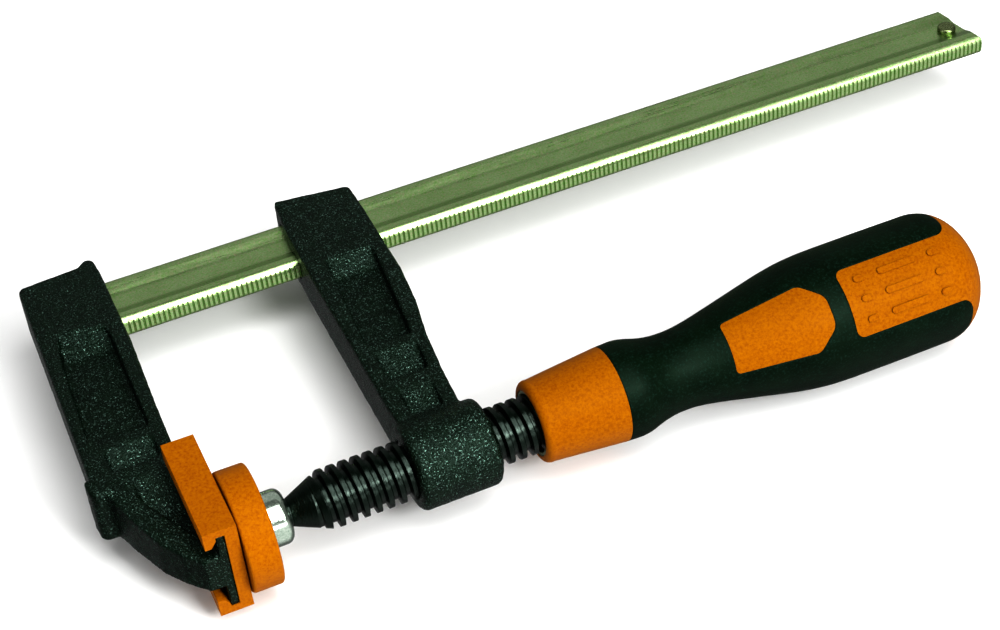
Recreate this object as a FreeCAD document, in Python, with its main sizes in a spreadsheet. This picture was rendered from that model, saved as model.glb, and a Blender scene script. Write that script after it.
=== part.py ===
import FreeCAD, Part
import math
import os
import Sketcher

# Bar clamp with a toothed rail, a fixed arm, a sliding arm and a screw with a two-colour handle.
# Millimetres. X runs along the rail towards its free end, the arms reach towards -Y,
# and +Z is square to their broad faces. The origin is on the screw's axis, in the plane of the
# fixed jaw's pressure face.

V = FreeCAD.Vector
doc = FreeCAD.newDocument("bar_clamp")

DIMENSIONS = {
    # rail
    "reach": 111.4,
    "rail_start": -25.0,
    "rail_end": 308.8,
    "rail_width": 22.8,
    "rail_thick": 7.8,
    "bead_round": 2.9,
    "bead_inner": 7.2,
    "web_half": 2.4,
    "web_flat": 3.2,
    "web_blend": 6.0,
    "tooth_pitch": 1.64,
    "tooth_depth": 0.65,
    "tooth_gap": 0.8,
    "teeth_from": -2.0,
    "end_skew": 11.3,
    "end_bevel": 0.8,
    "slide_gap": 0.35,
    "stop_from_end": 5.2,
    "stop_radius": 1.9,
    "stop_head": 3.2,
    "stop_height": 4.3,
    "stop_round": 1.0,
    # fixed arm
    "fixed_half": 9.2,
    "fixed_tip_half": 5.6,
    "arm_round": 1.2,
    "flange_back": -6.45,
    "flange_front": -3.8,
    "flange_half": 14.0,
    "flange_low": -13.2,
    "flange_high": 26.5,
    "nub_half": 9.5,
    "pocket_floor": 5.0,
    # jaw cap
    "cap_back": -9.95,
    "cap_half": 16.4,
    "cap_low": -13.4,
    "cap_high": 26.7,
    "lip_half": 10.5,
    "lip_tip": 1.9,
    # sliding arm
    "slide_half": 8.8,
    "boss_left": 54.3,
    "boss_right": 79.8,
    "boss_radius": 13.35,
    "boss_round": 2.2,
    # screw: its line leans a little from the rail's, as the arm does in its slot
    "lean": 0.55,
    "major": 9.0,
    "minor": 7.1,
    "pitch": 3.8,
    "groove_floor": 1.25,
    "groove_mouth": 2.3,
    "groove_start": 23.05,
    "thread_gap": 0.2,
    "cone_start": 17.6,
    "neck_radius": 4.2,
    "cone_end": 28.8,
    "thread_end": 113.0,
    "tang_radius": 6.0,
    "tang_end": 200.0,
    "tang_flat": 4.6,
    "flats_start": 133.0,
    "ball_x": 12.0,
    "ball_radius": 5.8,
    # swivel pad
    "pad_gap": 0.5,
    "pad_radius": 18.17,
    "pad_back": 9.8,
    "pad_wall": 2.7,
    "plate_radius": 16.4,
    "plate_back": 6.2,
    "snap_radius": 14.8,
    "hub_radius": 8.36,
    "hub_end": 17.0,
    "hub_round": 2.6,
    "socket_radius": 6.4,
    "socket_floor": 4.4,
    "socket_mouth": 5.4,
    "disc_front": 4.6,
    "disc_back": 5.95,
    "disc_radius": 5.9,
    "ring_x": 15.3,
    "ring_radius": 5.75,
    "ring_wire": 0.7,
    # handle
    "handle_front": 93.8,
    "cover_start": 119.8,
    "cover_end": 233.1,
    "cover_thick": 2.2,
    "grip_radius": 20.85,
    "dome_radius": 20.8,
    "dome_x": 227.5,
    "dome_length": 16.0,
    "dome_shoulder": 13.5,
    "bush_inner": 9.25,
    "bush_outer": 10.3,
    "bush_end": 112.0,
    "window_turn": 42.6,
    "rear_half": 10.67,
    "rear_start": 192.6,
    "mark_height": 21.45,
    "mark_half": 1.05,
    "mark_turn": 17.3,
}

sheet = doc.addObject("Spreadsheet::Sheet", "Dimensions")
for row, (alias, value) in enumerate(DIMENSIONS.items(), start=1):
    sheet.set(f"A{row}", alias)
    sheet.set(f"B{row}", str(value))
    sheet.setAlias(f"B{row}", alias)
doc.recompute()


def size(alias):
    return float(sheet.get(alias))


def bind(obj, **formulas):
    """Ties properties to formulas over the sheet, where a bare alias is written with a leading $."""
    for prop, formula in formulas.items():
        obj.setExpression(prop, formula.replace("$", "Dimensions."))


def new_body(name):
    body = doc.addObject("PartDesign::Body", name)
    body.Label = name
    return body


def new_sketch(body, name, plane, offset=0.0, turn=0.0, about=V(1, 0, 0)):
    """A sketch on one of the body's origin planes, moved along its normal or turned about its own x or y axis."""
    sketch = body.newObject("Sketcher::SketchObject", name)
    origin_plane = next(f for f in body.Origin.OriginFeatures if f.Role == plane)
    sketch.AttachmentSupport = [(origin_plane, "")]
    sketch.MapMode = "FlatFace"
    sketch.AttachmentOffset = FreeCAD.Placement(V(0, 0, offset), FreeCAD.Rotation(about, turn))
    return sketch


def trace(sketch, start, *steps):
    """Draws a closed outline. A step is the next point, or (via, end) for an arc through three points."""
    here = V(*start)
    first = sketch.GeometryCount
    for step in steps + (start,):
        if isinstance(step[0], tuple):
            via, end = V(*step[0]), V(*step[1])
            sketch.addGeometry(Part.Arc(here, via, end), False)
        else:
            end = V(*step)
            if (end - here).Length < 1e-6:
                continue
            sketch.addGeometry(Part.LineSegment(here, end), False)
        here = end
    last = sketch.GeometryCount - 1
    return first, last


def circle(sketch, centre, radius_alias):
    """A circle whose radius follows the sheet."""
    index = sketch.addGeometry(Part.Circle(V(*centre), V(0, 0, 1), size(radius_alias)), False)
    constraint = sketch.addConstraint(Sketcher.Constraint("Radius", index, size(radius_alias)))
    sketch.setExpression(f"Constraints[{constraint}]", f"Dimensions.{radius_alias}")


def pad(body, name, sketch, length, both_ways=False, backwards=False):
    feature = body.newObject("PartDesign::Pad", name)
    feature.Profile = sketch
    bind(feature, Length=length)
    feature.SideType = "Symmetric" if both_ways else "One side"
    feature.Reversed = backwards
    body.Tip = feature
    return feature


def pocket(body, name, sketch, length, both_ways=False, backwards=False):
    before = body.Shape.Volume
    feature = body.newObject("PartDesign::Pocket", name)
    feature.Profile = sketch
    bind(feature, Length=length)
    feature.SideType = "Symmetric" if both_ways else "One side"
    feature.Reversed = backwards
    body.Tip = feature
    must_shrink(body, name, before)
    return feature


def must_shrink(body, name, before):
    doc.recompute()
    if not body.Shape.Volume < before - 1e-3:
        raise RuntimeError(f"{name} cuts nothing")


def revolve(body, name, sketch):
    """Turns a sketch drawn on the XY plane about the screw's axis."""
    feature = body.newObject("PartDesign::Revolution", name)
    feature.Profile = sketch
    feature.ReferenceAxis = (sketch, ["H_Axis"])
    feature.Angle = 360.0
    body.Tip = feature
    return feature


def fillet(body, name, radius, wanted):
    """Rounds the edges of the body's tip that pass the test."""
    doc.recompute()
    base = body.Tip
    edges = [f"Edge{i}" for i, e in enumerate(base.Shape.Edges, start=1) if wanted(e)]
    feature = body.newObject("PartDesign::Fillet", name)
    feature.Base = (base, edges)
    bind(feature, Radius=radius)
    body.Tip = feature
    return feature


def screw_line():
    """Where the screw's own parts lie: leaned about the ball's centre, in the plane of the arms."""
    return FreeCAD.Placement(V(0, 0, 0), FreeCAD.Rotation(V(0, 0, 1), size("lean")), V(size("ball_x"), 0, 0))


def rail_section(sketch, grow=0.0):
    """The rail's section: two beads with rounded edges, joined by a thinner web. Drawn about the rail's middle."""
    middle = size("reach")
    top = size("rail_thick") / 2
    corner = size("bead_round")
    side = size("rail_width") / 2
    slope = math.atan2(top - size("web_half"), size("bead_inner") - size("web_flat"))
    tuck = grow * math.tan(slope / 2)
    inner, flat = size("bead_inner") - tuck, size("web_flat") - tuck
    web = size("web_half") + grow
    bend = (corner + grow) * math.sqrt(0.5)

    def edge_round(across, up):
        """Three points of one rounded edge, from the side face to the broad one."""
        y, z = side - corner, top - corner
        points = ((y + corner + grow, z), (y + bend, z + bend), (y, z + corner + grow))
        return [(middle + across * y, up * z, 0) for y, z in points]

    far_up, far_down = edge_round(1, 1), edge_round(1, -1)
    near_up, near_down = edge_round(-1, 1), edge_round(-1, -1)
    trace(
        sketch,
        (middle + flat, web, 0),
        (middle + inner, top + grow, 0),
        far_up[2],
        (far_up[1], far_up[0]),
        far_down[0],
        (far_down[1], far_down[2]),
        (middle + inner, -top - grow, 0),
        (middle + flat, -web, 0),
        (middle - flat, -web, 0),
        (middle - inner, -top - grow, 0),
        near_down[2],
        (near_down[1], near_down[0]),
        near_up[0],
        (near_up[1], near_up[2]),
        (middle - inner, top + grow, 0),
        (middle - flat, web, 0),
    )


def make_rail():
    body = new_body("bar")
    section = new_sketch(body, "bar_section", "YZ_Plane", size("rail_start"))
    rail_section(section)
    pad(body, "bar_length", section, "$rail_end - $rail_start + 0.25 * $rail_width")

    web_corner = size("web_half")
    flat = size("web_flat")

    def at_web_corner(edge):
        box = edge.BoundBox
        return (
            box.XLength > 100
            and abs(abs(box.Center.z) - web_corner) < 0.01
            and abs(abs(box.Center.y - size("reach")) - flat) < 0.01
        )

    fillet(body, "bar_web_blend", "$web_blend", at_web_corner)
    doc.recompute()

    # one V groove for each tooth gap, along both edges
    teeth = new_sketch(body, "bar_teeth", "XY_Plane")
    half_width = size("rail_width") / 2
    outside = half_width + 0.1
    inside = half_width - size("tooth_depth")
    count = int((size("rail_end") + 4 - size("teeth_from")) / size("tooth_pitch"))
    for edge in (-1, 1):
        for i in range(count):
            x = size("teeth_from") + (i + 0.5) * size("tooth_pitch")
            gap = size("tooth_gap") / 2
            trace(
                teeth,
                (x - gap, size("reach") + edge * outside, 0),
                (x, size("reach") + edge * inside, 0),
                (x + gap, size("reach") + edge * outside, 0),
            )
    pocket(body, "bar_teeth_cut", teeth, "$rail_thick + 2", both_ways=True)

    # the free end is sheared a little askew and bevelled on both faces
    skew = size("end_skew")
    end = new_sketch(body, "bar_end", "XZ_Plane", turn=skew, about=V(0, 1, 0))
    along = size("rail_end") * math.cos(math.radians(skew)) + size("reach") * math.sin(math.radians(skew))
    bevel, square, clear = size("end_bevel"), size("rail_thick") / 2 - size("end_bevel"), 8.0
    far = along + 20
    trace(
        end,
        (along, -square, 0),
        (along, square, 0),
        (along - bevel - 1, square + bevel + 1, 0),
        (along - bevel - 1, clear, 0),
        (far, clear, 0),
        (far, -clear, 0),
        (along - bevel - 1, -clear, 0),
        (along - bevel - 1, -square - bevel - 1, 0),
    )
    pocket(body, "bar_end_cut", end, "20 * $rail_width", both_ways=True)

    hole = new_sketch(body, "bar_stop_hole", "XY_Plane")
    circle(hole, (size("rail_end") - size("stop_from_end"), size("reach"), 0), "stop_radius")
    pocket(body, "bar_stop_hole_cut", hole, "$rail_thick + 2", both_ways=True)
    return body


def make_stop_pin():
    """A rivet through the web, with a rounded head on each face that stands above the beads."""
    body = new_body("bar_stop_pin")
    profile = new_sketch(body, "pin_profile", "XZ_Plane")
    web, top = size("web_half"), size("stop_height")
    shank, head, soft = size("stop_radius"), size("stop_head"), size("stop_round")
    bend = soft * (1 - math.sqrt(0.5))
    trace(
        profile,
        (0, -top, 0),
        (head - soft, -top, 0),
        ((head - bend, bend - top, 0), (head, soft - top, 0)),
        (head, -web, 0),
        (shank, -web, 0),
        (shank, web, 0),
        (head, web, 0),
        (head, top - soft, 0),
        ((head - bend, top - bend, 0), (head - soft, top, 0)),
        (0, top, 0),
    )
    feature = body.newObject("PartDesign::Revolution", "pin_turned")
    feature.Profile = profile
    feature.ReferenceAxis = (profile, ["V_Axis"])
    feature.Angle = 360.0
    body.Tip = feature
    body.Placement = FreeCAD.Placement(
        V(size("rail_end") - size("stop_from_end"), size("reach"), 0), FreeCAD.Rotation()
    )
    return body


def recess(name, plan, side):
    """A cast-in hollow on both broad faces: a plan outline met by a side profile with its ramp."""
    plan_sketch = doc.addObject("Sketcher::SketchObject", f"{name}_plan")
    trace(plan_sketch, *[(x, y, 0) for x, y in plan])
    side_sketch = doc.addObject("Sketcher::SketchObject", f"{name}_side")
    side_sketch.Placement = FreeCAD.Placement(V(-60, 0, 0), FreeCAD.Rotation(V(1, 1, 1), 120))
    trace(side_sketch, *[(y, z, 0) for y, z in side])
    trace(side_sketch, *[(y, -z, 0) for y, z in side])

    plan_block = doc.addObject("Part::Extrusion", f"{name}_plan_block")
    plan_block.Base = plan_sketch
    plan_block.Dir = V(0, 0, 1)
    plan_block.LengthFwd = 40.0
    plan_block.Symmetric = True
    plan_block.Solid = True
    side_block = doc.addObject("Part::Extrusion", f"{name}_side_block")
    side_block.Base = side_sketch
    side_block.Dir = V(1, 0, 0)
    side_block.LengthFwd = 160.0
    side_block.Solid = True

    hollow = doc.addObject("Part::Common", f"{name}_hollow")
    hollow.Base = plan_block
    hollow.Tool = side_block
    return hollow


def hollowed(name, blank, hollows):
    """The finished casting: the blank less its hollows."""
    cutters = doc.addObject("Part::MultiFuse", f"{name}_hollows")
    cutters.Shapes = hollows
    casting = doc.addObject("Part::Cut", name)
    casting.Base = blank
    casting.Tool = cutters
    casting.Label = name
    doc.recompute()
    return casting


def make_fixed_arm():
    body = new_body("fixed_arm_blank")
    plan = new_sketch(body, "fixed_plan", "XY_Plane")
    trace(
        plan,
        (-28.6, 125.3, 0),
        (-9.8, 126.7, 0),
        (-7.6, 128.6, 0),
        ((-5.2, 128.9, 0), (-3.9, 127.2, 0)),
        (-3.5, 121.0, 0),
        (-3.5, 86.0, 0),
        (-4.9, 54.0, 0),
        (-5.6, 27.0, 0),
        (-5.6, -13.2, 0),
        (-10.8, -13.2, 0),
        (-16.1, -7.1, 0),
        (-20.6, 0.1, 0),
        (-25.3, 12.6, 0),
        (-28.1, 22.0, 0),
        (-31.6, 24.5, 0),
        (-31.7, 31.0, 0),
        (-29.8, 124.0, 0),
    )
    pad(body, "fixed_plate", plan, "2 * $fixed_half", both_ways=True)

    def broad_face_rim(edge):
        return abs(abs(edge.BoundBox.Center.z) - size("fixed_half")) < 0.01

    fillet(body, "fixed_rim_round", "$arm_round", broad_face_rim)
    doc.recompute()

    # the lower half of the arm thins towards its tip, alike on both faces
    taper = new_sketch(body, "fixed_taper", "YZ_Plane", -60.0)
    tall = size("fixed_half") + 5
    for face in (-1, 1):
        trace(
            taper,
            (29.0, face * size("fixed_half"), 0),
            (10.0, face * 7.3, 0),
            (-20.0, face * size("fixed_tip_half"), 0),
            (-20.0, face * tall, 0),
            (29.0, face * tall, 0),
        )
    pocket(body, "fixed_taper_cut", taper, "80", backwards=True)

    # the corner block at the elbow stands a little proud of the arm
    nub = new_sketch(body, "fixed_nub", "XY_Plane")
    trace(
        nub,
        (-26.0, 30.0, 0),
        (-31.9, 30.6, 0),
        ((-33.2, 30.1, 0), (-33.4, 28.8, 0)),
        (-33.2, 25.4, 0),
        ((-32.2, 23.5, 0), (-30.4, 22.9, 0)),
        (-26.5, 22.9, 0),
    )
    pad(body, "fixed_nub_pad", nub, "2 * $nub_half", both_ways=True)

    # the broad thin flange that the jaw cap clips over
    flange = new_sketch(body, "fixed_flange", "XY_Plane")
    back, front = size("flange_back"), size("flange_front")
    low, high = size("flange_low"), size("flange_high")
    trace(flange, (back, low, 0), (front, low, 0), (front, high, 0), (back, high, 0))
    pad(body, "fixed_flange_pad", flange, "2 * $flange_half", both_ways=True)

    # the rail is pressed into a blind socket in the head
    socket = new_sketch(body, "fixed_socket", "YZ_Plane", size("rail_start"))
    rail_section(socket)
    doc.recompute()
    pocket(body, "fixed_socket_cut", socket, "$flange_front - $rail_start + 10", backwards=True)

    floor, top = size("pocket_floor"), size("fixed_half") + 3
    long_hollow = recess(
        "fixed_long",
        [(-23.5, 98.0), (-9.5, 93.8), (-8.8, 90.0), (-9.3, 46.0), (-12.0, 42.5), (-24.5, 43.0), (-27.6, 49.0), (-25.8, 84.0)],
        [(97.5, 9.2), (87.0, floor), (46.5, floor), (42.5, top), (97.5, top)],
    )
    short_hollow = recess(
        "fixed_short",
        [(-24.8, 41.0), (-10.0, 41.5), (-10.0, 31.0), (-24.4, 29.5)],
        [(40.5, 9.2), (33.0, floor), (32.0, floor), (29.5, top), (40.5, top)],
    )
    tip_hollow = recess(
        "fixed_tip",
        [(-20.6, 25.0), (-9.8, 25.4), (-8.2, 12.0), (-9.3, -3.0), (-14.5, 6.5), (-20.3, 17.5)],
        [(25.5, 9.0), (12.0, 4.0), (2.0, 4.0), (-4.0, 7.0), (-4.0, top), (25.5, top)],
    )
    return hollowed("fixed_arm", body, [long_hollow, short_hollow, tip_hollow])


def make_jaw_cap():
    """A plastic channel that clips over the flange from the front."""
    body = new_body("jaw_cap")
    section = new_sketch(body, "cap_section", "XZ_Plane", -size("cap_high"))
    back, half = size("cap_back"), size("cap_half")
    inner_back, inner_front = size("flange_back"), size("flange_front")
    inner_half, lip = size("flange_half"), size("lip_half")
    lip_front = back + size("lip_tip")
    trace(
        section,
        (0, -half, 0),
        (0, half, 0),
        (back, half, 0),
        (back, lip, 0),
        (lip_front, lip, 0),
        (inner_back, inner_half - 1.2, 0),
        (inner_back, inner_half, 0),
        (inner_front, inner_half, 0),
        (inner_front, -inner_half, 0),
        (inner_back, -inner_half, 0),
        (inner_back, 1.2 - inner_half, 0),
        (lip_front, -lip, 0),
        (back, -lip, 0),
        (back, -half, 0),
    )
    pad(body, "cap_length", section, "$cap_high - $cap_low")
    return body


def make_boss():
    """The round boss at the sliding arm's foot, with its tapped bore."""
    body = new_body("slide_boss")
    disc = new_sketch(body, "slide_boss_disc", "YZ_Plane", size("boss_left"))
    circle(disc, (0, 0, 0), "boss_radius")
    pad(body, "slide_boss_pad", disc, "$boss_right - $boss_left")
    fillet(body, "slide_boss_round", "$boss_round", lambda edge: edge.BoundBox.XLength < 0.01)

    bore = new_sketch(body, "slide_bore", "YZ_Plane", size("boss_left") - 5)
    bore_radius = size("minor") + size("thread_gap")
    index = bore.addGeometry(Part.Circle(V(0, 0, 0), V(0, 0, 1), bore_radius), False)
    radius = bore.addConstraint(Sketcher.Constraint("Radius", index, bore_radius))
    bore.setExpression(f"Constraints[{radius}]", "Dimensions.minor + Dimensions.thread_gap")
    doc.recompute()
    pocket(body, "slide_bore_cut", bore, "$boss_right - $boss_left + 10", backwards=True)

    # the screw's ridges run half a pitch from its grooves
    gap = size("thread_gap")
    ridge_tip = (size("pitch") - size("groove_mouth")) / 2 + gap
    ridge_foot = (size("pitch") - size("groove_floor")) / 2 + gap
    first_ridge = size("groove_start") + size("pitch") * 6.5
    before = body.Shape.Volume
    cut_thread(
        body,
        "slide_thread",
        [
            (first_ridge - ridge_foot, size("minor") - gap, 0),
            (first_ridge - ridge_tip, size("major") + gap, 0),
            (first_ridge + ridge_tip, size("major") + gap, 0),
            (first_ridge + ridge_foot, size("minor") - gap, 0),
        ],
        "10 * $pitch",
    )
    must_shrink(body, "slide_thread", before)
    body.Placement = screw_line()
    return body


def make_sliding_arm():
    body = new_body("sliding_arm_blank")
    plan = new_sketch(body, "slide_plan", "XY_Plane")
    trace(
        plan,
        (57.8, 128.4, 0),
        (81.2, 124.9, 0),
        ((82.6, 124.2, 0), (83.0, 122.6, 0)),
        (83.3, 112.0, 0),
        (83.1, 77.0, 0),
        (81.6, 60.3, 0),
        (78.8, 44.6, 0),
        (76.9, 26.0, 0),
        (76.0, 10.1, 0),
        (56.6, 10.1, 0),
        (55.9, 18.7, 0),
        (56.0, 88.0, 0),
        (56.4, 111.8, 0),
    )
    pad(body, "slide_plate", plan, "2 * $slide_half", both_ways=True)

    def broad_face_rim(edge):
        return abs(abs(edge.BoundBox.Center.z) - size("slide_half")) < 0.01 and edge.BoundBox.Center.y > 10.2

    fillet(body, "slide_rim_round", "$arm_round", broad_face_rim)
    doc.recompute()

    # the slot follows the rail's own section, so the rivet's heads catch on the arm at the rail's end
    slot = new_sketch(body, "slide_slot", "YZ_Plane", 40.0)
    rail_section(slot, size("slide_gap"))
    doc.recompute()
    pocket(body, "slide_slot_cut", slot, "60", backwards=True)

    floor, top = size("pocket_floor"), size("slide_half") + 3
    long_hollow = recess(
        "slide_long",
        [(63.0, 92.0), (78.2, 91.0), (78.0, 84.0), (74.6, 46.5), (71.0, 44.0), (63.0, 44.0), (60.4, 48.0)],
        [(91.5, 8.8), (84.5, floor), (48.0, floor), (44.5, top), (91.5, top)],
    )
    short_hollow = recess(
        "slide_short",
        [(60.9, 43.0), (74.3, 43.0), (73.4, 28.0), (61.2, 28.0)],
        [(43.0, 8.8), (33.0, floor), (31.0, floor), (28.0, top), (43.0, top)],
    )
    foot_hollow = recess(
        "slide_foot",
        [(61.2, 24.0), (72.2, 24.0), (71.2, 11.0), (61.8, 11.0)],
        [(24.0, 8.8), (14.0, 5.6), (12.8, 5.6), (11.6, top), (24.0, top)],
    )
    plate = hollowed("slide_plate_hollowed", body, [long_hollow, short_hollow, foot_hollow])
    casting = doc.addObject("Part::MultiFuse", "sliding_arm")
    casting.Shapes = [plate, make_boss()]
    casting.Label = "sliding_arm"
    return casting


def cut_thread(body, name, corners, height):
    """A right-hand helical groove about the screw's axis, from a section in the XY plane."""
    section = new_sketch(body, f"{name}_section", "XY_Plane")
    trace(section, *corners)
    groove = body.newObject("PartDesign::SubtractiveHelix", name)
    groove.Profile = section
    groove.ReferenceAxis = (section, ["H_Axis"])
    groove.Mode = "pitch-height-angle"
    bind(groove, Pitch="$pitch", Height=height)
    groove.Angle = 0.0
    groove.Growth = 0.0
    groove.LeftHanded = False
    groove.Reversed = False
    body.Tip = groove
    doc.recompute()


def make_spindle():
    body = new_body("spindle")
    profile = new_sketch(body, "spindle_profile", "XY_Plane")
    ball, centre, neck = size("ball_radius"), size("ball_x"), size("neck_radius")
    neck_meets_ball = centre + math.sqrt(ball**2 - neck**2)
    trace(
        profile,
        (centre - ball, 0, 0),
        ((centre, ball, 0), (neck_meets_ball, neck, 0)),
        (size("cone_start"), neck, 0),
        (size("cone_end"), size("major"), 0),
        (size("thread_end") - 1.5, size("major"), 0),
        (size("thread_end"), size("minor"), 0),
        (size("thread_end"), size("tang_radius"), 0),
        (size("tang_end"), size("tang_radius"), 0),
        (size("tang_end"), 0, 0),
    )
    revolve(body, "spindle_turned", profile)
    doc.recompute()

    # two flats on the tang keep the handle from slipping round
    flats = new_sketch(body, "spindle_flats", "YZ_Plane", size("flats_start"))
    side, edge = size("tang_radius") + 1, size("tang_flat")
    for face in (-1, 1):
        trace(flats, (-side, face * edge, 0), (side, face * edge, 0), (side, face * side, 0), (-side, face * side, 0))
    pocket(body, "spindle_flats_cut", flats, "$tang_end - $thread_end", backwards=True)

    before = body.Shape.Volume
    start, minor, major = size("groove_start"), size("minor"), size("major")
    floor, mouth = size("groove_floor") / 2, size("groove_mouth") / 2
    lift = 0.5
    flare = mouth + lift * (mouth - floor) / (major - minor)
    cut_thread(
        body,
        "spindle_thread",
        [
            (start - flare, major + lift, 0),
            (start - floor, minor, 0),
            (start + floor, minor, 0),
            (start + flare, major + lift, 0),
        ],
        "$thread_end - $groove_start + $pitch",
    )
    must_shrink(body, "spindle_thread", before)
    body.Placement = screw_line()
    return body


def make_turned(name, outline):
    """A part turned about the screw's axis."""
    body = new_body(name)
    profile = new_sketch(body, f"{name}_profile", "XY_Plane")
    trace(profile, *outline)
    revolve(body, f"{name}_turned", profile)
    return body


def make_swivel_plate():
    hub, end, soft = size("hub_radius"), size("hub_end"), size("hub_round")
    bend = soft * (1 - math.sqrt(0.5))
    front, back = size("pad_gap") + size("pad_wall"), size("plate_back")
    return make_turned(
        "swivel_plate",
        [
            (front, 0, 0),
            (front, size("plate_radius"), 0),
            (back, size("plate_radius"), 0),
            (back, hub, 0),
            (end - soft, hub, 0),
            ((end - bend, hub - bend, 0), (end, hub - soft, 0)),
            (end, size("socket_mouth"), 0),
            (end - 0.9, size("socket_mouth"), 0),
            (end - 0.9, size("socket_radius") + 0.1, 0),
            (size("socket_floor"), size("socket_radius"), 0),
            (size("socket_floor"), 0, 0),
        ],
    )


def make_pad_cap():
    front, back = size("pad_gap"), size("pad_back")
    outer, soft = size("pad_radius"), 0.8
    wall = front + size("pad_wall")
    return make_turned(
        "pad_cap",
        [
            (front, 0, 0),
            (front, outer - soft, 0),
            ((front + 0.3 * soft, outer - 0.3 * soft, 0), (front + soft, outer, 0)),
            (back - soft, outer, 0),
            ((back - 0.3 * soft, outer - 0.3 * soft, 0), (back, outer - soft, 0)),
            (back, size("snap_radius") + 0.6, 0),
            (back - 1.2, size("snap_radius"), 0),
            (size("plate_back"), size("snap_radius"), 0),
            (size("plate_back"), size("plate_radius"), 0),
            (wall, size("plate_radius"), 0),
            (wall, 0, 0),
        ],
    )


def make_thrust_disc():
    front, back, rim = size("disc_front"), size("disc_back"), size("disc_radius")
    return make_turned(
        "thrust_disc",
        [(front, 0, 0), (front, rim, 0), (back - 0.3, rim, 0), (back, rim - 0.3, 0), (back, 0, 0)],
    )


def make_retaining_ring():
    """A round-wire ring behind the ball."""
    ring = doc.addObject("Part::Torus", "retaining_ring")
    bind(ring, Radius1="$ring_radius", Radius2="$ring_wire")
    ring.Placement = FreeCAD.Placement(V(size("ring_x"), 0, 0), FreeCAD.Rotation(V(0, 1, 0), 90))
    ring.Label = "retaining_ring"
    return ring


def handle_outline(inset=0.0):
    """The grip's long curve from the ferrule's joint to the dome, as a spline through its main stations."""
    stations = [
        (124.0, 15.0),
        (126.3, 14.86),
        (128.9, 14.3),
        (131.8, 13.4),
        (139.8, 12.25),
        (154.8, 14.3),
        (170.0, 17.65),
        (184.0, 20.2),
        (200.0, 20.8),
        (214.0, size("grip_radius")),
        (size("dome_x"), size("dome_radius")),
    ]
    curve = Part.BSplineCurve()
    curve.interpolate([V(x, r - inset, 0) for x, r in stations])
    return curve, stations


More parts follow.
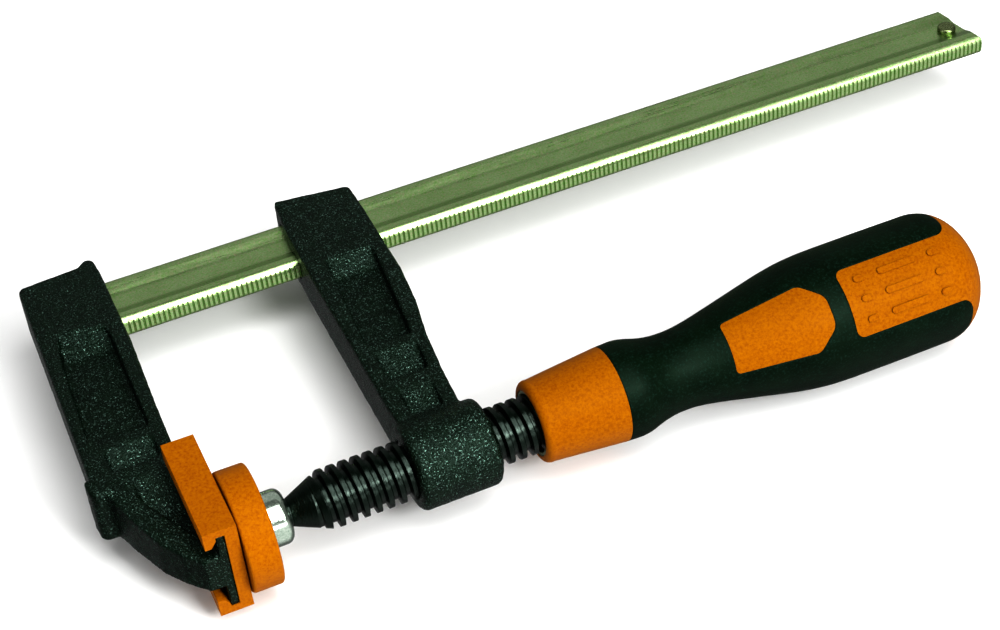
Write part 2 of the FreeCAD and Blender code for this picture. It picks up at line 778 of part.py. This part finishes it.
def make_handle():
    line = screw_line()
    turn = line.multiply(FreeCAD.Placement(V(0, 0, 0), FreeCAD.Rotation(V(1, 0, 0), size("window_turn"))))

    # the whole outside of the handle, ferrule to dome
    blank = new_body("handle_blank")
    profile = new_sketch(blank, "handle_profile", "XY_Plane")
    curve, stations = handle_outline()
    front, joint, bore = size("handle_front"), size("cover_start"), size("bush_outer")
    bend_x, bend_r = stations[0]
    dome_x, dome_r, tip_x = size("dome_x"), size("dome_radius"), size("dome_x") + size("dome_length")
    # the dome: a round shoulder, then a flatter cap that meets it without a corner
    shoulder = size("dome_shoulder")
    low = dome_r - shoulder
    cap = (dome_r**2 + size("dome_length") ** 2 - 2 * dome_r * shoulder) / (2 * (size("dome_length") - shoulder))
    slope = math.atan2(low, dome_x - (tip_x - cap))
    shoulder_end = (dome_x + shoulder * math.cos(slope), low + shoulder * math.sin(slope))
    shoulder_mid = (math.pi / 2 + slope) / 2
    profile.addGeometry(curve, False)
    pieces = [
        Part.LineSegment(V(joint, 14.85, 0), V(bend_x, bend_r, 0)),
        Part.LineSegment(V(96.4, 12.75, 0), V(joint, 14.85, 0)),
        Part.Arc(V(front, 10.9, 0), V(94.4, 12.2, 0), V(96.4, 12.75, 0)),
        Part.LineSegment(V(front, bore, 0), V(front, 10.9, 0)),
        Part.LineSegment(V(front, bore, 0), V(size("bush_end") + 1, bore, 0)),
        Part.LineSegment(V(size("bush_end") + 1, bore, 0), V(size("bush_end") + 1, 0, 0)),
        Part.LineSegment(V(size("bush_end") + 1, 0, 0), V(tip_x, 0, 0)),
        Part.Arc(
            V(dome_x, dome_r, 0),
            V(dome_x + shoulder * math.cos(shoulder_mid), low + shoulder * math.sin(shoulder_mid), 0),
            V(*shoulder_end, 0),
        ),
        Part.Arc(
            V(*shoulder_end, 0),
            V(tip_x - cap + cap * math.cos(slope / 2), cap * math.sin(slope / 2), 0),
            V(tip_x, 0, 0),
        ),
    ]
    for piece in pieces:
        profile.addGeometry(piece, False)
    revolve(blank, "handle_turned", profile)

    # raised grip marks in the rear windows: three rows, each a long one with a short one at each end
    half = size("mark_half")
    for row in (-1, 0, 1):
        marks = new_sketch(blank, f"handle_marks{row + 2}", "XY_Plane", turn=row * size("mark_turn"))
        for left, right in ((196.8, 200.2), (205.0, 218.2), (222.2, 225.6)):
            trace(
                marks,
                (left + half, -half, 0),
                (right - half, -half, 0),
                ((right, 0, 0), (right - half, half, 0)),
                (left + half, half, 0),
                ((left, 0, 0), (left + half, -half, 0)),
            )
        pad(blank, f"handle_marks{row + 2}_pad", marks, "2 * $mark_height", both_ways=True)
    blank.Placement = turn

    # the space that the soft cover fills, open at the windows
    space = new_body("handle_cover_space")
    shell = new_sketch(space, "cover_shell", "XY_Plane")
    inner, inner_stations = handle_outline(size("cover_thick"))
    inner_r = inner_stations[0][1] - size("cover_thick")
    end, beyond = size("cover_end"), size("grip_radius") + 6
    inner_end = size("dome_radius") - size("cover_thick")
    shell.addGeometry(inner, False)
    for piece in (
        Part.LineSegment(V(joint, inner_r, 0), V(bend_x, inner_r, 0)),
        Part.LineSegment(V(joint, inner_r, 0), V(joint, beyond, 0)),
        Part.LineSegment(V(joint, beyond, 0), V(end, beyond, 0)),
        Part.LineSegment(V(end, beyond, 0), V(end, inner_end - 1.4, 0)),
        Part.LineSegment(V(end, inner_end - 1.4, 0), V(dome_x, inner_end, 0)),
    ):
        shell.addGeometry(piece, False)
    revolve(space, "cover_turned", shell)
    doc.recompute()

    windows = new_sketch(space, "cover_windows", "XY_Plane")
    # the front window: wider towards the rear, with its two rear corners cut off
    trace(
        windows,
        (155.0, 6.6, 0),
        ((155.4, 7.5, 0), (156.3, 7.95, 0)),
        (178.6, 10.3, 0),
        ((180.1, 10.3, 0), (181.3, 9.7, 0)),
        (185.4, 5.9, 0),
        ((186.4, 4.2, 0), (186.6, 2.6, 0)),
        (186.6, -2.6, 0),
        ((186.4, -4.2, 0), (185.4, -5.9, 0)),
        (181.3, -9.7, 0),
        ((180.1, -10.3, 0), (178.6, -10.3, 0)),
        (156.3, -7.95, 0),
        ((155.4, -7.5, 0), (155.0, -6.6, 0)),
    )
    # the rear window runs out into the end cap through a flared mouth
    left, half_rear = size("rear_start"), size("rear_half")
    flare = 4.6
    mouth = end - flare
    soft = 2.6
    cut = soft * (1 - math.sqrt(0.5))
    sag = flare * math.sqrt(0.5)
    trace(
        windows,
        (left, half_rear - soft, 0),
        ((left + cut, half_rear - cut, 0), (left + soft, half_rear, 0)),
        (mouth, half_rear, 0),
        ((mouth + sag, half_rear + flare - sag, 0), (end, half_rear + flare, 0)),
        (end + 3, half_rear + flare, 0),
        (end + 3, -half_rear - flare, 0),
        (end, -half_rear - flare, 0),
        ((mouth + sag, sag - half_rear - flare, 0), (mouth, -half_rear, 0)),
        (left + soft, -half_rear, 0),
        ((left + cut, cut - half_rear, 0), (left, soft - half_rear, 0)),
    )
    pocket(space, "cover_windows_cut", windows, "80", both_ways=True)
    space.Placement = turn

    # the core is moulded round the screw's tang and its two flats
    round_hole = doc.addObject("Part::Cylinder", "tang_hole_round")
    bind(round_hole, Radius="$tang_radius", Height="$tang_end - $thread_end")
    round_hole.Placement = FreeCAD.Placement(V(size("thread_end"), 0, 0), FreeCAD.Rotation(V(0, 1, 0), 90))
    keys = doc.addObject("Part::Box", "tang_hole_flats")
    bind(keys, Length="$tang_end - $flats_start", Width="4 * $tang_radius", Height="2 * $tang_radius - 2 * $tang_flat")
    keys.Placement = FreeCAD.Placement(V(size("flats_start"), -2 * size("tang_radius"), size("tang_flat")), FreeCAD.Rotation())
    keys_below = doc.addObject("Part::Mirroring", "tang_hole_flats_below")
    keys_below.Source = keys
    keys_below.Normal = V(0, 0, 1)
    both_keys = doc.addObject("Part::MultiFuse", "tang_hole_keys")
    both_keys.Shapes = [keys, keys_below]
    tang = doc.addObject("Part::Cut", "tang_hole")
    tang.Base = round_hole
    tang.Tool = both_keys
    tang.Placement = line
    taken = doc.addObject("Part::MultiFuse", "core_cutters")
    taken.Shapes = [space, tang]

    core = doc.addObject("Part::Cut", "handle_core")
    core.Base = blank
    core.Tool = taken
    core.Label = "handle_core"
    grip = doc.addObject("Part::Common", "handle_grip")
    grip.Base = blank
    grip.Tool = space
    grip.Label = "handle_grip"
    return [core, grip]


def make_handle_bush():
    """A thin steel sleeve lining the ferrule's mouth."""
    start, end = size("handle_front") + 0.2, size("bush_end")
    inner, outer = size("bush_inner"), size("bush_outer")
    bush = make_turned("handle_bush", [(start, inner, 0), (start, outer, 0), (end, outer, 0), (end, inner, 0)])
    bush.Placement = screw_line()
    return bush


def check_document(parts):
    """Stops the run on a failed feature or an empty or broken shape."""
    for obj in doc.Objects:
        if "Invalid" in obj.State or "Error" in obj.State:
            raise RuntimeError(f"{obj.Name} is {obj.State}")
    for part in parts:
        shape = part.Shape
        if shape.isNull() or not shape.isValid() or not shape.Solids:
            raise RuntimeError(f"{part.Label} has no valid solid")
        box = shape.BoundBox
        print(
            f"{part.Label:16s} solids {len(shape.Solids)} faces {len(shape.Faces):5d} "
            f"volume {shape.Volume:10.1f} x {box.XMin:7.2f} {box.XMax:7.2f} "
            f"y {box.YMin:7.2f} {box.YMax:7.2f} z {box.ZMin:7.2f} {box.ZMax:7.2f}"
        )


def main():
    parts = [
        make_rail(),
        make_stop_pin(),
        make_fixed_arm(),
        make_jaw_cap(),
        make_sliding_arm(),
        make_spindle(),
        make_thrust_disc(),
        make_retaining_ring(),
        make_swivel_plate(),
        make_pad_cap(),
        make_handle_bush(),
    ]
    parts += make_handle()
    doc.recompute()
    check_document(parts)
    os.makedirs("parts", exist_ok=True)
    for part in parts:
        part.Shape.exportStep(os.path.join("parts", part.Label + ".step"))


main()
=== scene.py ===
"""Looks of the bar clamp: finishes, cast surfaces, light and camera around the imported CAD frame."""

import math

import bmesh
import bpy
import numpy as np
from mathutils import Matrix, Vector, noise
from mathutils.bvhtree import BVHTree


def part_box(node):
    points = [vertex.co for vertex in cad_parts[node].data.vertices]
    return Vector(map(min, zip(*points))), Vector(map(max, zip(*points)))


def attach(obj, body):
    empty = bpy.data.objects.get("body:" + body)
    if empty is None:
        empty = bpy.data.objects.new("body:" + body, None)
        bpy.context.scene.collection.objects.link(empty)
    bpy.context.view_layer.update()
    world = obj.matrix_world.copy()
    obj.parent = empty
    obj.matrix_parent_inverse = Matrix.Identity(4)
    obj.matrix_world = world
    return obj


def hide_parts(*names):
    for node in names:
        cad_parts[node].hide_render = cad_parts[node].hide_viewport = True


MM = 0.001

# the screw's line, leaned a little from the rail's, through the centre of the pad's ball
LEAN = math.radians(0.55)
BALL = Vector((12, 0, 0)) * MM
SCREW_AXIS = Vector((math.cos(LEAN), math.sin(LEAN), 0))

# the camera fitted to the photo: widths in pixels and millimetres, angles in radians
FRAME_WIDTH = 1000
FOCAL_PIXELS = 2200.1
SENSOR_WIDTH = 36
ELEVATION = 0.7171
AZIMUTH = -0.3348
ROLL = -0.1077
TARGET = Vector((104.8, 49.72, 0)) * MM
DISTANCE = 685.5 * MM
NEAR_CLIP = 10 * MM

# the floor lies just under the handle and the arms
FLOOR_HEIGHT = -21.2 * MM
FLOOR_HALF_SIDE = 4.0

# soft boxes: direction from the clamp's middle, distance and size in metres, power in watts
LIGHTS = {
    "key": ((0.25, -0.80, 0.60), 1.3, (0.4, 0.3), 8),
    "strip": ((0.25, -0.55, 0.80), 1.5, (0.7, 1.7), 16),
    "top": ((-0.1, -0.3, 1.0), 1.6, (1.1, 0.9), 6),
    "back": ((0.25, 0.75, 0.62), 1.6, (2.4, 1.4), 2.4),
    "front": ((0.25, -0.96, 0.12), 1.3, (0.9, 0.28), 2.6),
    "side": ((-0.9, -0.1, 0.5), 1.3, (0.5, 0.5), 2),
}

# the world's bright patch: its direction, the cosines at its rim and core, and the strengths there
LOW_FRONT = (0.24, -0.83, -0.50)
PATCH_RIM, PATCH_CORE = 0.55, 0.9
RIM_STRENGTH, CORE_STRENGTH = 0.17, 0.8

# most of a noise's values lie between these
NOISE_LOW, NOISE_HIGH = 0.3, 0.7

# the cast skin: the remesh's grid, the smoothing, and the relief's waves with their heights in millimetres
WELD_DISTANCE = 1e-7
VOXEL = 0.6 * MM
SMOOTHING_PASSES = 3
SMOOTHING_SHARE = 0.5
SKIN_WAVES = ((2.6 * MM, 0.10), (1.3 * MM, 0.05))

# how far from the rail, the jaw cap and the screw's axis a casting stays exact, and where it is free
RAIL_REACH = (0.5 * MM, 1.2 * MM)
CAP_REACH = (0.0, 1.5 * MM)
CAP_HOLD = 0.85
BORE_REACH = (9.6 * MM, 10.6 * MM)


def srgb(red, green, blue):
    """A linear colour from sRGB values of 0 to 255."""
    def linear(value):
        value /= 255
        return value / 12.92 if value <= 0.04045 else ((value + 0.055) / 1.055) ** 2.4

    return (linear(red), linear(green), linear(blue), 1)


class Finish:
    """A procedural material, with short calls for the nodes that the finishes share."""

    def __init__(self, name, roughness=0.5, metallic=0.0, specular=0.5, tint=None):
        self.material = bpy.data.materials.new(name)
        self.material.use_nodes = True
        self.tree = self.material.node_tree
        self.shader = self.tree.nodes["Principled BSDF"]
        self.shader.inputs["Roughness"].default_value = roughness
        self.shader.inputs["Metallic"].default_value = metallic
        self.shader.inputs["Specular IOR Level"].default_value = specular
        if tint:
            self.shader.inputs["Specular Tint"].default_value = tint
        self.place = self.node("ShaderNodeTexCoord").outputs["Object"]

    def node(self, kind, **settings):
        """A new node of the material, with its settings made."""
        node = self.tree.nodes.new(kind)
        for key, value in settings.items():
            setattr(node, key, value)
        return node

    def link(self, source, target):
        """Joins an output to an input."""
        self.tree.links.new(source, target)

    def set(self, socket, value):
        """Drives one of the shader's own sockets."""
        self.link(value, self.shader.inputs[socket])

    def mapped(self, setting, values):
        """Coordinates put through a mapping with one setting made."""
        mapping = self.node("ShaderNodeMapping")
        mapping.inputs[setting].default_value = values
        self.link(self.place, mapping.inputs["Vector"])
        return mapping.outputs["Vector"]

    def stretched(self, factors):
        """Coordinates scaled unevenly, for streaks."""
        return self.mapped("Scale", factors)

    def shifted(self, offset):
        """Coordinates moved, so that two noises of one size don't fall together."""
        return self.mapped("Location", offset)

    def noise(self, grain, detail=3, roughness=0.6, place=None):
        """Noise whose features are about `grain` metres across."""
        node = self.node("ShaderNodeTexNoise")
        node.inputs["Scale"].default_value = 1 / grain
        node.inputs["Detail"].default_value = detail
        node.inputs["Roughness"].default_value = roughness
        self.link(place or self.place, node.inputs["Vector"])
        return node.outputs["Fac"]

    def ramp(self, value, *stops):
        """A colour or grey ramp through (position, colour or number) stops."""
        node = self.node("ShaderNodeValToRGB")
        elements = node.color_ramp.elements
        for i, (position, colour) in enumerate(stops):
            element = elements[i] if i < 2 else elements.new(position)
            element.position = position
            element.color = colour if hasattr(colour, "__len__") else (colour,) * 3 + (1,)
        self.link(value, node.inputs["Fac"])
        return node.outputs["Color"]

    def range(self, value, low, high):
        """Maps the middle of a noise's values to low..high."""
        node = self.node("ShaderNodeMapRange")
        node.inputs["From Min"].default_value = NOISE_LOW
        node.inputs["From Max"].default_value = NOISE_HIGH
        node.inputs["To Min"].default_value = low
        node.inputs["To Max"].default_value = high
        self.link(value, node.inputs["Value"])
        return node.outputs["Result"]

    def mix(self, factor, first, second):
        """Blends two colours; each value is an output or a constant."""
        node = self.node("ShaderNodeMix", data_type="RGBA")
        sockets = [i for i in node.inputs if i.type in ("RGBA", "VALUE") and i.enabled]
        for name, value in (("Factor", factor), ("A", first), ("B", second)):
            target = next(i for i in sockets if i.name == name)
            if hasattr(value, "is_output"):
                self.link(value, target)
            else:
                target.default_value = value
        return next(o for o in node.outputs if o.enabled)

    def bump(self, height, depth, below=None):
        """Relief `depth` metres deep, over another normal."""
        node = self.node("ShaderNodeBump")
        node.inputs["Distance"].default_value = depth
        self.link(height, node.inputs["Height"])
        if below is not None:
            self.link(below, node.inputs["Normal"])
        return node.outputs["Normal"]

    def soft_edges(self, radius):
        """The normal of a surface whose edges are rounded by `radius`."""
        node = self.node("ShaderNodeBevel", samples=6)
        node.inputs["Radius"].default_value = radius
        return node.outputs["Normal"]


def rail_finish():
    """Dull plated drawn steel: greyish olive with a coloured grain, and faint streaks along the rail."""
    f = Finish("rail_steel", metallic=1.0)
    grain = f.noise(0.5 * MM, detail=5, roughness=0.75)
    tint = f.noise(0.8 * MM, detail=4, roughness=0.7, place=f.shifted((2.3, 4.1, 0.7)))
    patches = f.noise(9 * MM, detail=3)
    streaks = f.noise(1.0 * MM, detail=4, place=f.stretched((0.04, 1, 1)))
    tone = f.ramp(
        grain, (0.3, srgb(108, 140, 84)), (0.5, srgb(156, 188, 126)), (0.72, srgb(222, 236, 200))
    )
    cast = f.ramp(
        tint, (0.36, srgb(112, 170, 62)), (0.5, srgb(160, 184, 142)), (0.64, srgb(192, 172, 144))
    )
    worn = f.ramp(patches, (0.35, srgb(132, 166, 96)), (0.65, srgb(176, 206, 144)))
    f.set("Base Color", f.mix(0.45, f.mix(0.35, tone, worn), cast))
    f.set("Roughness", f.range(streaks, 0.25, 0.36))
    relief = f.bump(grain, 0.035 * MM, f.soft_edges(0.3 * MM))
    f.set("Normal", f.bump(streaks, 0.02 * MM, relief))
    return f.material


def pin_finish():
    """Bare steel of the stop pin and of the small inner parts."""
    f = Finish("pin_steel", metallic=1.0)
    grain = f.noise(0.4 * MM, detail=4, roughness=0.7)
    f.set("Base Color", f.ramp(grain, (0.3, srgb(84, 96, 62)), (0.7, srgb(150, 162, 118))))
    f.set("Roughness", f.range(grain, 0.2, 0.36))
    f.set("Normal", f.bump(grain, 0.03 * MM, f.soft_edges(0.5 * MM)))
    return f.material


def paint_finish():
    """Dark green enamel over a sand-cast skin: grainy, with scattered pale metallic glints."""
    f = Finish("arm_paint", specular=0.26, tint=srgb(212, 255, 234))
    lumps = f.noise(3.2 * MM, detail=2, roughness=0.5)
    grit = f.noise(0.6 * MM, detail=2, roughness=0.6)
    dust = f.noise(0.55 * MM, detail=2, place=f.shifted((3.1, 1.7, 5.3)))
    tone = f.ramp(lumps, (0.3, srgb(0, 8, 1)), (0.7, srgb(4, 19, 6)))
    glint = f.ramp(dust, (0.6, 0.0), (0.66, 1.0))
    f.set("Base Color", f.mix(glint, tone, srgb(104, 130, 120)))
    f.set("Metallic", glint)
    f.set("Roughness", f.range(grit, 0.14, 0.3))
    relief = f.bump(lumps, 0.3 * MM)
    f.set("Normal", f.bump(grit, 0.45 * MM, relief))
    return f.material


def plastic_finish(name, shade=1.0):
    """Moulded orange plastic: satin, with a fine grain. `shade` darkens it."""
    f = Finish(name, specular=0.1, tint=srgb(255, 205, 110))
    cloud = f.noise(14 * MM, detail=2)
    grain = f.noise(0.9 * MM, detail=4, roughness=0.7)
    deep, low, middle, high = (
        srgb(red * shade, green * shade, 0)
        for red, green in ((130, 64), (148, 86), (154, 90), (168, 104))
    )
    tone = f.ramp(cloud, (0.3, low), (0.7, middle))
    speck = f.ramp(grain, (0.34, deep), (0.5, middle), (0.66, high))
    f.set("Base Color", f.mix(0.65, tone, speck))
    f.set("Roughness", f.range(grain, 0.32, 0.5))
    f.set("Normal", f.bump(grain, 0.05 * MM, f.soft_edges(0.25 * MM)))
    return f.material


def rubber_finish():
    """Soft dark green overmould with a fine spark-eroded grain."""
    f = Finish("grip_rubber", specular=0.1, tint=srgb(205, 255, 228))
    cloud = f.noise(11 * MM, detail=2)
    grain = f.noise(0.7 * MM, detail=4, roughness=0.7)
    tone = f.ramp(cloud, (0.3, srgb(3, 14, 4)), (0.7, srgb(7, 22, 9)))
    speck = f.ramp(grain, (0.52, 0.0), (0.72, 0.5))
    f.set("Base Color", f.mix(speck, tone, srgb(34, 62, 52)))
    f.set("Roughness", f.range(grain, 0.36, 0.55))
    f.set("Normal", f.bump(grain, 0.06 * MM, f.soft_edges(0.8 * MM)))
    return f.material


def screw_finish():
    """Burnished black rolled thread with a film of oil."""
    f = Finish("screw_black", specular=0.3, tint=srgb(225, 255, 240))
    grain = f.noise(0.6 * MM, detail=4, roughness=0.65)
    streaks = f.noise(0.7 * MM, detail=3, place=f.stretched((1, 0.2, 0.2)))
    f.set("Base Color", f.ramp(grain, (0.35, srgb(1, 5, 2)), (0.7, srgb(8, 17, 11))))
    f.set("Roughness", f.range(streaks, 0.1, 0.3))
    relief = f.bump(streaks, 0.12 * MM, f.soft_edges(0.35 * MM))
    f.set("Normal", f.bump(grain, 0.05 * MM, relief))
    return f.material


def zinc_finish():
    """Bright zinc-plated pressed steel."""
    f = Finish("pad_steel", metallic=1.0)
    grain = f.noise(0.7 * MM, detail=4, roughness=0.6)
    cloud = f.noise(4 * MM, detail=2)
    tone = f.ramp(grain, (0.3, srgb(176, 194, 178)), (0.7, srgb(216, 228, 214)))
    f.set("Base Color", f.mix(f.range(cloud, 0, 0.3), tone, srgb(140, 164, 144)))
    f.set("Roughness", f.range(grain, 0.1, 0.2))
    f.set("Normal", f.bump(grain, 0.01 * MM, f.soft_edges(0.4 * MM)))
    return f.material


def floor_finish():
    """White paper with a faint unevenness in its tone."""
    f = Finish("floor_paper", roughness=0.9, specular=0.1)
    cloud = f.noise(60 * MM, detail=2)
    f.set("Base Color", f.ramp(cloud, (0.3, srgb(246, 246, 245)), (0.7, srgb(250, 250, 249))))
    return f.material


def paint_mesh(mesh, material):
    """Gives every face of a mesh one material, in place of what it had."""
    mesh.materials.clear()
    mesh.materials.append(material)
    mesh.polygons.foreach_set("material_index", [0] * len(mesh.polygons))


def dress(node, material):
    """Gives a CAD node its finish in place of the plain one."""
    paint_mesh(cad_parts[node].data, material)


def show(thing):
    """Puts an object in the scene."""
    bpy.context.scene.collection.objects.link(thing)


def remeshed(source, name, voxel):
    """A voxel-remeshed copy of a mesh as a new object, and a search tree of the mesh's own surface."""
    mesh = source.data.copy()
    work = bmesh.new()
    work.from_mesh(mesh)
    bmesh.ops.remove_doubles(work, verts=work.verts, dist=WELD_DISTANCE)
    surface = BVHTree.FromBMesh(work)
    work.to_mesh(mesh)
    work.free()
    piece = bpy.data.objects.new(name, mesh)
    show(piece)
    remesh = piece.modifiers.new("skin", "REMESH")
    remesh.mode = "VOXEL"
    remesh.voxel_size = voxel
    evaluated = piece.evaluated_get(bpy.context.evaluated_depsgraph_get())
    skin = bpy.data.meshes.new_from_object(evaluated)
    piece.modifiers.clear()
    piece.data = skin
    skin.name = name
    return piece, surface


def smooth(points, edges, free):
    """Moves the points towards their neighbours' mean, as far as each one is free."""
    degree = np.bincount(edges.ravel(), minlength=len(points))[:, None]
    for _ in range(SMOOTHING_PASSES):
        total = np.zeros_like(points)
        np.add.at(total, edges[:, 0], points[edges[:, 1]])
        np.add.at(total, edges[:, 1], points[edges[:, 0]])
        points += (total / degree - points) * (SMOOTHING_SHARE * free)[:, None]


def skin_relief(point):
    """The cast skin's height at a point, in millimetres."""
    return sum(height * noise.noise(Vector(point) / wave) for wave, height in SKIN_WAVES)


def move_vertices(mesh, points):
    """Sets where a mesh's vertices are."""
    mesh.vertices.foreach_set("co", points.astype(np.float32).ravel())
    mesh.update()


def cast_copy(node, body, voxel, kept):
    """Replaces a casting with a copy that has soft edges and an uneven skin.

    `kept` says how exact each point stays: 1 is not moved, 0 is free.
    """
    piece, surface = remeshed(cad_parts[node], node + "_cast", voxel)
    skin = piece.data
    points = np.array([surface.find_nearest(v.co)[0] for v in skin.vertices])
    free = 1 - kept(points)
    smooth(points, np.array([e.vertices[:] for e in skin.edges]), free)
    move_vertices(skin, points)
    normals = np.array([v.normal for v in skin.vertices])
    relief = np.array([skin_relief(point) for point in points])
    skin.polygons.foreach_set("use_smooth", [True] * len(skin.polygons))
    move_vertices(skin, points + normals * (relief * free * MM)[:, None])
    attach(piece, body)
    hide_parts(node)
    return piece


def outside(points, box):
    """How far each point lies outside a box, along each axis."""
    low, high = (np.array(corner) for corner in box)
    return np.maximum(np.maximum(low - points, points - high), 0)


def hold(distances, reach):
    """1 up to the reach's first distance, falling to 0 at its second."""
    near, far = reach
    return 1 - np.clip((distances - near) / (far - near), 0, 1)


def keep_slot(points):
    """1 near the rail, 0 away from it."""
    across = outside(points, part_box("bar"))[:, 1:]
    return hold(np.linalg.norm(across, axis=1), RAIL_REACH)


def keep_slot_and_cap(points):
    """1 near the rail and nearly 1 inside the jaw cap, 0 away from them."""
    distances = np.linalg.norm(outside(points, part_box("jaw_cap")), axis=1)
    return np.maximum(keep_slot(points), CAP_HOLD * hold(distances, CAP_REACH))


def keep_slot_and_bore(points):
    """1 near the rail and in the tapped bore, 0 away from them."""
    away = points - np.array(BALL)
    axis = np.array(SCREW_AXIS)
    radius = np.linalg.norm(away - np.outer(away @ axis, axis), axis=1)
    return np.maximum(keep_slot(points), hold(radius, BORE_REACH))


def add_light(name, direction, distance, size, power):
    """A soft box that looks at the clamp's middle."""
    data = bpy.data.lights.new(name, "AREA")
    data.shape = "RECTANGLE"
    data.size, data.size_y = size
    data.energy = power
    lamp = bpy.data.objects.new(name, data)
    away = Vector(direction).normalized()
    lamp.location = TARGET + away * distance
    lamp.rotation_euler = away.to_track_quat("Z", "Y").to_euler()
    show(lamp)


def add_camera():
    """The camera fitted to the photo."""
    back = Vector((
        math.sin(AZIMUTH) * math.cos(ELEVATION),
        -math.cos(AZIMUTH) * math.cos(ELEVATION),
        math.sin(ELEVATION),
    ))
    level = Vector((math.cos(AZIMUTH), math.sin(AZIMUTH), 0))
    upright = back.cross(level)
    right = level * math.cos(ROLL) + upright * math.sin(ROLL)
    up = upright * math.cos(ROLL) - level * math.sin(ROLL)
    data = bpy.data.cameras.new("camera")
    data.sensor_width = SENSOR_WIDTH
    data.lens = FOCAL_PIXELS / FRAME_WIDTH * SENSOR_WIDTH
    data.clip_start = NEAR_CLIP
    camera = bpy.data.objects.new("camera", data)
    place = Matrix((right, up, back)).transposed().to_4x4()
    place.translation = TARGET + back * DISTANCE
    camera.matrix_world = place
    show(camera)
    bpy.context.scene.camera = camera


def add_floor():
    """A plain pale floor, left out of glossy reflections so that the dark castings stay dark."""
    mesh = bpy.data.meshes.new("floor")
    side = FLOOR_HALF_SIDE
    corners = [(-side, -side), (side, -side), (side, side), (-side, side)]
    mesh.from_pydata([(x, y, FLOOR_HEIGHT) for x, y in corners], [], [(0, 1, 2, 3)])
    floor = bpy.data.objects.new("floor", mesh)
    show(floor)
    mesh.materials.append(floor_finish())
    floor.visible_glossy = False


def add_world():
    """Dim light all round, with a brighter patch low in front that the rail's toothed edge reflects."""
    world = bpy.data.worlds.new("studio")
    world.use_nodes = True
    tree = world.node_tree
    direction = tree.nodes.new("ShaderNodeTexCoord").outputs["Generated"]
    toward = tree.nodes.new("ShaderNodeVectorMath")
    toward.operation = "DOT_PRODUCT"
    toward.inputs[1].default_value = LOW_FRONT
    strength = tree.nodes.new("ShaderNodeMapRange")
    strength.inputs["From Min"].default_value = PATCH_RIM
    strength.inputs["From Max"].default_value = PATCH_CORE
    strength.inputs["To Min"].default_value = RIM_STRENGTH
    strength.inputs["To Max"].default_value = CORE_STRENGTH
    background = tree.nodes["Background"]
    background.inputs["Color"].default_value = (1, 1, 1, 1)
    tree.links.new(direction, toward.inputs[0])
    tree.links.new(toward.outputs["Value"], strength.inputs["Value"])
    tree.links.new(strength.outputs["Result"], background.inputs["Strength"])
    bpy.context.scene.world = world


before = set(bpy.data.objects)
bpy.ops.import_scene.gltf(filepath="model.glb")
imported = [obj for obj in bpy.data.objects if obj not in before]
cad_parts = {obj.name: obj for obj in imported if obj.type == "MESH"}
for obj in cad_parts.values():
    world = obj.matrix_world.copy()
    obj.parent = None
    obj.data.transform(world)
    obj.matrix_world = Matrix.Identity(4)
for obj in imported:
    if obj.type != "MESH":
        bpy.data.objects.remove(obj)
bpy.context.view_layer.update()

dress("bar", rail_finish())
pin = pin_finish()
for pin_node in ("bar_stop_pin", "thrust_disc", "retaining_ring", "handle_bush"):
    dress(pin_node, pin)
orange = plastic_finish("cap_plastic")
dress("jaw_cap", orange)
dress("pad_cap", orange)
dress("spindle", screw_finish())
dress("swivel_plate", zinc_finish())
dress("handle_core", plastic_finish("handle_plastic", shade=0.93))
dress("handle_grip", rubber_finish())

paint = paint_finish()
grid = VOXEL
for casting, carrier, exactness in (
    ("fixed_arm", "bar_frame", keep_slot_and_cap),
    ("sliding_arm", "sliding_arm", keep_slot_and_bore),
):
    paint_mesh(cast_copy(casting, carrier, grid, exactness).data, paint)

add_floor()
add_world()
for light, (direction, distance, size, power) in LIGHTS.items():
    add_light(light, direction, distance, size, power)
add_camera()
bpy.context.scene.view_settings.view_transform = "Standard"
bpy.context.scene.view_settings.look = "High Contrast"
